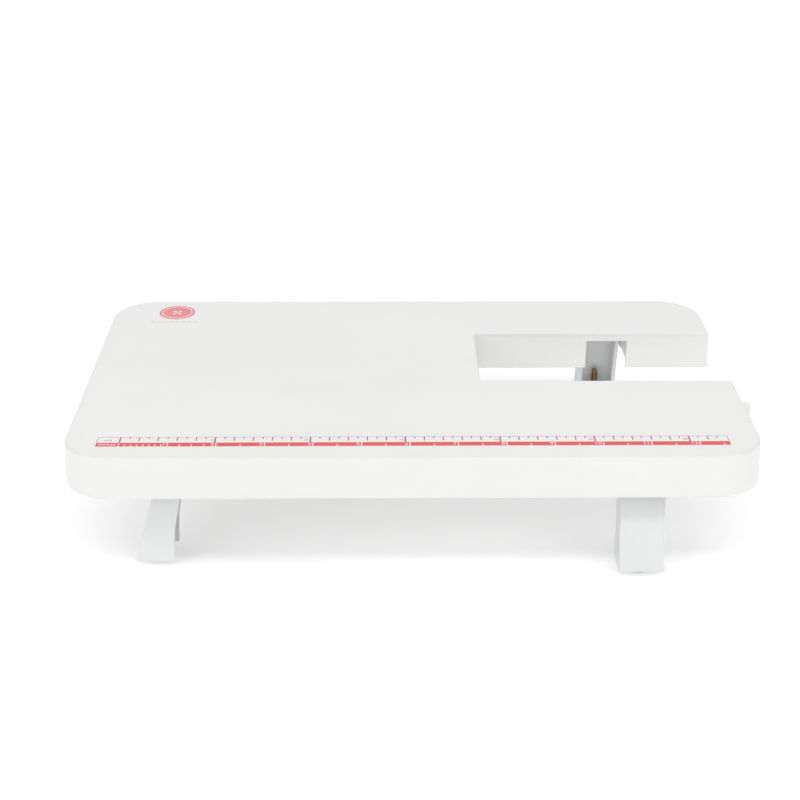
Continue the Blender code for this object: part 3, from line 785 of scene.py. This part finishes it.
def make_ruler():
    low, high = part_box("ruler_strip")
    film_top = low.z + FILM
    band_top = film_top + INK
    mark_top = band_top + INK
    zero = low.x + RULER_END_CELL
    seam = low.y + INCH_BAND
    line = OUTLINE_WIDTH

    film = Print("ruler_film", RULER_FILM, low.z, film_top)
    corners = ((low.x, low.y, 180), (high.x, low.y, 270), (high.x, high.y, 0), (low.x, high.y, 90))
    arcs = [corner_arc((x, y), FILM_CORNER, start, 90, 4) for x, y, start in corners]
    film.outline(sum(arcs, []))
    film.done("ruler_strip")

    band = Print("ruler_inch_band", RED_INK, film_top, band_top)
    band.slab(low.x + line, low.y + line / 2, high.x - line, seam)
    band.done()

    red = Print("ruler_centimetre_marks", MARK_INK, film_top, band_top)
    red.slab(low.x + line, high.y - 1.5 * line, high.x - line, high.y - line / 2)
    red.slab(low.x + line, seam, low.x + 2 * line, high.y - 1.5 * line)
    red.slab(high.x - 2 * line, seam, high.x - line, high.y - 1.5 * line)
    tick_top = high.y - 1.5 * line
    room = tick_top - seam
    digits_y = seam + CENTIMETRE_DIGITS_UP * room
    count = round((high.x - zero) / CENTIMETRE)
    for half_step in range(2 * count):
        x = zero + half_step * CENTIMETRE / 2
        centimetres, odd = divmod(half_step, 2)
        fifth = not odd and centimetres % 5 == 0
        share = HALF_CENTIMETRE_TICK if odd else 1.0 if fifth else CENTIMETRE_TICK
        width = TICK_WIDTH * (FIFTH_TICK_WIDENING if fifth else 1.0)
        red.slab(x - width / 2, tick_top - share * room, x + width / 2, tick_top)
        if fifth and centimetres:
            red.characters(str(centimetres), x - DIGIT_TO_TICK, digits_y, CENTIMETRE_DIGITS, "RIGHT")
    red.characters("cm", (low.x + zero) / 2, (seam + high.y) / 2 - WORD_DROP, CENTIMETRE_WORD)
    red.done()

    white = Print("ruler_inch_marks", WHITE_INK, band_top, mark_top)
    room = seam - low.y
    middle = low.y + INCH_DIGITS_UP * room
    inches = int((high.x - zero) / INCH)
    for eighth in range(8 * inches + 8):
        inch, part = divmod(eighth, 8)
        finest = 1 if inch == 0 else 2 if inch == 1 else 4
        x = zero + eighth * INCH / 8
        if part % finest or x > high.x - 2 * TICK_WIDTH:
            continue
        share = PART_INCH_TICK if part else INCH_TICK
        white.slab(x - TICK_WIDTH / 2, low.y + line / 2, x + TICK_WIDTH / 2, low.y + share * room)
        if part == 0 and inch:
            white.characters(str(inch), x - DIGIT_TO_TICK, middle, INCH_DIGITS, "RIGHT")
    white.characters("inches", (low.x + zero) / 2, middle, INCH_WORD)
    white.done()


def make_emblem():
    """A printed sewing button with a rim, four holes and its thread, and a row of stitches under it."""
    low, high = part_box("emblem")
    centre = (low + high) / 2
    radius = (high.x - low.x) / 2
    bottom, top = low.z, high.z - INK
    emblem = finish_mesh("button_emblem", disc(radius, bottom, top, (centre.x, centre.y), 96), [EMBLEM_INK])
    holes = []
    for i in range(4):
        angle = math.pi / 4 + i * math.pi / 2
        offset = Vector((math.cos(angle), math.sin(angle))) * BUTTON_HOLE_OFFSET
        spot = tuple(centre.xy + offset)
        holes.append(disc(BUTTON_HOLE_RADIUS, bottom - FILM, top + FILM, spot, 32))
    combine(emblem, "DIFFERENCE", holes)
    shade(emblem, 35.0)
    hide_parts("emblem")
    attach(emblem, "table")

    thread = Print("emblem_thread", WHITE_INK, top, high.z)
    for i in range(BUTTON_RIM_STEPS):
        first, last = (2 * math.pi * k / BUTTON_RIM_STEPS for k in (i, i + 1))
        outer = arc(centre.xy, BUTTON_RIM_OUTSIDE * radius, first, last, 1)
        inner = arc(centre.xy, BUTTON_RIM_INSIDE * radius, last, first, 1)
        thread.outline(outer + inner)
    for sign in (-1, 1):
        along = Vector((math.cos(math.pi / 4), sign * math.sin(math.pi / 4)))
        across = Vector((-along.y, along.x)) * THREAD_WIDTH / 2
        ends = [centre.xy + side * THREAD_REACH * along for side in (-1, 1)]
        points = [ends[0] - across, ends[1] - across, ends[1] + across, ends[0] + across]
        thread.outline([tuple(point) for point in points])
    thread.done()

    stitches = Print("emblem_stitches", GREY_INK, bottom, bottom + INK)
    y = low.y - STITCHES_BELOW_BUTTON
    for i in range(STITCH_COUNT):
        x = centre.x + (i - (STITCH_COUNT - 1) / 2) * STITCH_PITCH
        points = arc((x - STITCH_LENGTH / 2, y), STITCH_RADIUS, math.pi / 2, 3 * math.pi / 2, 6)
        points += arc((x + STITCH_LENGTH / 2, y), STITCH_RADIUS, -math.pi / 2, math.pi / 2, 6)
        stitches.outline(points)
    stitches.done()


# ---------------------------------------------------------------- legs and feet


def leg_outline(pivot_height):
    """The leg's side view in its own frame, with the pin at the origin."""
    bottom = FLOOR_TO_LEG - pivot_height
    last = math.pi + LEG_LEAN - math.acos(PIVOT_TO_FREE_EDGE / PIVOT_TO_FACE)
    head = arc((0.0, 0.0), PIVOT_TO_FACE, LEG_LEAN, last, 28)
    knee_x = KNEE_BELOW_PIVOT * math.tan(LEG_LEAN) - PIVOT_TO_FREE_EDGE / math.cos(LEG_LEAN)
    toe = bottom + TOE_HEIGHT
    toe_x = PIVOT_TO_FACE / math.cos(LEG_LEAN) - toe * math.tan(LEG_LEAN)
    rest = [
        ((knee_x, -KNEE_BELOW_PIVOT), KNEE_RADIUS),
        ((WAIST_FREE_EDGE, -WAIST_BELOW_PIVOT), WAIST_RADIUS),
        ((FOOT_FREE_EDGE, bottom), FOOT_CORNER),
        ((FOOT_TOE, bottom), TOE_CORNER),
        ((toe_x, toe), HEEL_CORNER),
    ]
    outline = head + [point for point, _ in rest]
    return soften(outline, [None] * len(head) + [radius for _, radius in rest])


def channel_outline(pivot_height):
    """The hollow of the channel, rounded where the web meets the foot's floor."""
    below = -pivot_height
    floor = below + FLOOR_TO_LEG + FOOT_FLOOR
    web = (PIVOT_TO_FACE - LEG_WALL) / math.cos(LEG_LEAN)
    reach = 3 * PIVOT_TO_FACE
    slope = math.tan(LEG_LEAN)
    corners = [
        (web - reach * slope, reach),
        (-reach, reach),
        (-reach, below),
        (FOOT_FLOOR_START, below),
        (FOOT_FLOOR_START, floor),
        (web - floor * slope, floor),
    ]
    return soften(corners, [None] * 5 + [FLOOR_FILLET])


def leg_mesh(name):
    pivot_height = JOINTS[f"fold_{name}"]["pos_m"][2]
    foot = foot_axis(name).translation - Vector((*JOINTS[f"fold_{name}"]["pos_m"][:2], 0.0))
    offset = foot.length
    body = prism(leg_outline(pivot_height), LEG_WIDTH / 2, LEG_EDGE)
    leg = finish_mesh(f"leg_channel_{name}", body, [LEG_WHITE])
    channel = prism(channel_outline(pivot_height), LEG_WIDTH / 2 - LEG_WALL, CHANNEL_FILLET, 3)
    below = -pivot_height
    axis = (offset, 0.0)
    foot_bottom = below + FLOOR_TO_LEG
    seat_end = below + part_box(f"threaded_insert_{name}")[1].z + INSERT_GAP
    combine(leg, "DIFFERENCE", [channel])
    boss_profile = [
        (0.0, foot_bottom + FOOT_FLOOR / 2),
        (BOSS_RADIUS, foot_bottom + FOOT_FLOOR / 2),
        (BOSS_RADIUS, below + BOSS_TOP - 2 * BREAK),
        (BOSS_RADIUS - 2 * BREAK, below + BOSS_TOP),
        (0.0, below + BOSS_TOP),
    ]
    boss = turned(boss_profile, 48)
    bmesh.ops.transform(boss, matrix=Matrix.Translation((offset, 0.0, 0.0)), verts=boss.verts)
    combine(leg, "UNION", [boss])
    pin_bm = disc(PIN_RADIUS + PIN_CLEARANCE, -LEG_WIDTH, LEG_WIDTH)
    bmesh.ops.transform(pin_bm, matrix=Matrix.Rotation(math.pi / 2, 4, "X"), verts=pin_bm.verts)
    seat = disc(INSERT_RADIUS + INSERT_GAP, below, seat_end, axis)
    stud = disc(SCREW_BORE + INSERT_GAP, below, below + BOSS_TOP + BREAK, axis)
    combine(leg, "DIFFERENCE", [seat])
    combine(leg, "DIFFERENCE", [stud])
    combine(leg, "DIFFERENCE", [pin_bm])
    return leg


def make_leg(name):
    leg = leg_mesh(name)
    rims = leg.modifiers.new("Rims", "BEVEL")
    rims.width = RIM_BEVEL
    rims.segments = 2
    rims.limit_method = "ANGLE"
    rims.angle_limit = math.radians(50)
    bake_modifiers(leg)
    shade(leg, 35.0)
    weigh_normals(leg)
    rise = Matrix.Translation((0.0, 0.0, JOINTS[f"fold_{name}"]["pos_m"][2]))
    place(leg, leg_frame(name) @ rise)
    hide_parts(f"leg_{name}")
    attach(leg, f"leg_{name}")


def make_pin(name):
    low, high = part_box(f"hinge_pin_{name}")
    half = max(high.x - low.x, high.y - low.y) / 2
    centre = (low + high) / 2
    chamfer, dimple = PIN_CHAMFER, PIN_DIMPLE
    side = [
        (0.0, half - dimple),
        (2 * dimple, half - dimple / 4),
        (2 * dimple + chamfer / 3, half),
        (PIN_RADIUS - chamfer, half),
        (PIN_RADIUS - chamfer / 3, half - chamfer / 3),
        (PIN_RADIUS, half - chamfer),
    ]
    profile = side + [(radius, -height) for radius, height in reversed(side)]
    pin = finish_mesh(f"steel_pin_{name}", turned(profile, 48), [STEEL], smooth=30.0)
    turn = leg_frame(name).to_3x3().to_4x4() @ Matrix.Rotation(math.pi / 2, 4, "X")
    place(pin, Matrix.Translation(centre) @ turn)
    weigh_normals(pin)
    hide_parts(f"hinge_pin_{name}")
    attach(pin, "table")


def make_insert(name):
    """A brass insert with two knurled bands and a groove between them."""
    low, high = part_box(f"threaded_insert_{name}")
    radius = (high.x - low.x) / 2
    length = high.z - low.z
    groove = INSERT_GROOVE
    profile = [(SCREW_BORE, high.z), (radius - groove, high.z), (radius, high.z - groove)]
    profile += [(radius, high.z - 0.4 * length), (radius - groove, high.z - 0.45 * length)]
    profile += [(radius - groove, high.z - 0.55 * length), (radius, high.z - 0.6 * length)]
    profile += [(radius, low.z + groove), (radius - groove, low.z), (SCREW_BORE, low.z)]
    bm = turned(profile, 96, flutes=24, flute_depth=KNURL_DEPTH, fluted_from=radius)
    insert = finish_mesh(f"brass_insert_{name}", bm, [BRASS], smooth=30.0)
    place(insert, foot_axis(name))
    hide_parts(f"threaded_insert_{name}")
    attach(insert, f"leg_{name}")


def thread_ridge(bm, root, crest, pitch, bottom, top, steps=24):
    """A closed helical ridge with a flat crest, which fades out at both ends."""
    turns = (top - bottom) / pitch
    count = int(turns * steps)
    fade = steps // 2
    sections = []
    for i in range(count + 1):
        angle = 2 * math.pi * i / steps
        height = bottom + pitch * i / steps
        grown = min(1.0, i / fade, (count - i) / fade)
        tip = root + (crest - root) * max(grown, 0.02)
        shape = ((root - THREAD_CREST, -0.42), (tip, -0.1), (tip, 0.1), (root - THREAD_CREST, 0.42))
        ring = [(r * math.cos(angle), r * math.sin(angle), height + share * pitch) for r, share in shape]
        sections.append([bm.verts.new(point) for point in ring])
    for first, second in zip(sections, sections[1:]):
        for i in range(len(first)):
            j = (i + 1) % len(first)
            bm.faces.new((first[i], first[j], second[j], second[i]))
    bm.faces.new(reversed(sections[0]))
    bm.faces.new(sections[-1])


def make_screw(name):
    """A brass stud: a round-ended core, a rolled thread and a flat head inside the knob."""
    low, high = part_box(f"foot_screw_{name}")
    head_radius = (high.x - low.x) / 2
    root = STUD_CREST - THREAD_DEPTH
    neck = low.z + STUD_NECK
    dome = [(0.0, high.z)]
    for i in range(1, 7):
        angle = math.pi / 12 * i
        dome.append((root * math.sin(angle), high.z - 0.6 * root * (1 - math.cos(angle))))
    edge = STUD_EDGE
    head = [(root, neck), (head_radius - edge, neck), (head_radius, neck - edge)]
    head += [(head_radius, low.z + edge), (head_radius - edge, low.z), (0.0, low.z)]
    bm = turned(dome + head, 48)
    thread_ridge(bm, root, STUD_CREST, THREAD_PITCH, neck + THREAD_PITCH / 2, high.z - 1.6 * root)
    screw = finish_mesh(f"brass_stud_{name}", bm, [BRASS], smooth=30.0)
    place(screw, foot_axis(name))
    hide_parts(f"foot_screw_{name}")
    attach(screw, f"foot_{name}")


def make_knob(name):
    """The foot's knob: a shallow dish with a fluted rim, which holds the pad and the stud's head."""
    low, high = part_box(f"foot_knob_{name}")
    pad_low, pad_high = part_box(f"foot_pad_{name}")
    stud_low, stud_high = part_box(f"foot_screw_{name}")
    radius = (high.x - low.x) / 2
    seat = (pad_high.x - pad_low.x) / 2 + KNOB_PAD_GAP
    head_seat = (stud_high.x - stud_low.x) / 2 + KNOB_PAD_GAP
    recess = pad_high.z + KNOB_SEAT_GAP
    head_recess = stud_low.z + KNOB_HEAD_DEPTH
    edge = KNOB_EDGE
    profile = [
        (SCREW_BORE, high.z),
        (radius - 2.5 * edge, high.z),
        (radius - edge, high.z - edge / 4),
        (radius - edge / 4, high.z - edge),
        (radius, high.z - 1.6 * edge),
        (radius, low.z + 1.2 * edge),
        (radius - edge / 4, low.z + edge / 2),
        (radius - edge, low.z),
        (seat, low.z),
        (seat, recess),
        (head_seat, recess),
        (head_seat, head_recess),
        (SCREW_BORE, head_recess),
    ]
    bm = turned(profile, 5 * KNOB_FLUTES, KNOB_FLUTES, KNOB_FLUTE_DEPTH, fluted_from=radius - edge / 2)
    knob = finish_mesh(f"fluted_knob_{name}", bm, [KNOB_WHITE], smooth=40.0)
    place(knob, foot_axis(name))
    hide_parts(f"foot_knob_{name}")
    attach(knob, f"foot_{name}")


def make_pad(name):
    """A rubber pad with two grip grooves in its underside."""
    low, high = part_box(f"foot_pad_{name}")
    radius = (high.x - low.x) / 2
    edge, groove = PAD_EDGE, PAD_GROOVE
    profile = [(0.0, high.z), (radius - edge, high.z), (radius, high.z - edge), (radius, low.z + edge)]
    profile.append((radius - edge, low.z))
    for share in PAD_GROOVE_SHARES:
        middle = share * radius
        profile += [(middle + 2 * groove, low.z), (middle + groove, low.z + groove)]
        profile += [(middle - groove, low.z + groove), (middle - 2 * groove, low.z)]
    profile.append((0.0, low.z))
    pad = finish_mesh(f"rubber_pad_{name}", turned(profile, 72), [RUBBER], smooth=30.0)
    place(pad, foot_axis(name))
    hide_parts(f"foot_pad_{name}")
    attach(pad, f"pad_{name}")


# ---------------------------------------------------------------- stage


def make_floor():
    bm = bmesh.new()
    bmesh.ops.create_grid(bm, x_segments=1, y_segments=1, size=FLOOR_HALF_SIZE)
    nodes = Nodes("floor")
    clouds = nodes.noise(3.0, detail=3.0)
    nodes.link(nodes.ramp(clouds, 0.3, 0.7, (0.93, 0.93, 0.93), (0.95, 0.95, 0.95)), "Base Color")
    nodes.shader.inputs["Emission Color"].default_value = (1.0, 1.0, 1.0, 1.0)
    nodes.shader.inputs["Emission Strength"].default_value = FLOOR_GLOW
    nodes.set(Roughness=0.9)
    floor = finish_mesh("floor", bm, [nodes.material])


def make_light(name, power, size, location):
    light = bpy.data.lights.new(name, "AREA")
    light.shape = "RECTANGLE"
    light.size, light.size_y = size
    light.energy = power
    obj = bpy.data.objects.new(name, light)
    bpy.context.scene.collection.objects.link(obj)
    obj.location = location
    obj.rotation_euler = (Vector(LIGHT_TARGET) - Vector(location)).to_track_quat("-Z", "Y").to_euler()


def make_lights():
    world = bpy.data.worlds.new("studio")
    world.use_nodes = True
    world.node_tree.nodes["Background"].inputs["Color"].default_value = (1.0, 1.0, 1.0, 1.0)
    world.node_tree.nodes["Background"].inputs["Strength"].default_value = WORLD_STRENGTH
    bpy.context.scene.world = world
    for light in LIGHTS:
        make_light(*light)


def make_camera():
    camera = bpy.data.cameras.new("camera")
    camera.sensor_width = 36.0
    camera.lens = CAMERA_LENS
    camera.clip_start = 0.01
    obj = bpy.data.objects.new("camera", camera)
    bpy.context.scene.collection.objects.link(obj)
    turn = Matrix.Rotation(CAMERA_YAW, 4, "Z") @ Matrix.Rotation(CAMERA_PITCH, 4, "X")
    obj.matrix_world = Matrix.Translation(CAMERA_PLACE) @ turn @ Matrix.Rotation(CAMERA_ROLL, 4, "Z")
    bpy.context.scene.camera = obj


def main():
    bpy.context.scene.view_settings.view_transform = "Standard"
    make_camera()
    make_floor()
    make_lights()
    make_top()
    make_ruler()
    make_emblem()
    for name in LEGS:
        make_leg(name)
        make_pin(name)
        make_insert(name)
        make_screw(name)
        make_knob(name)
        make_pad(name)


main()
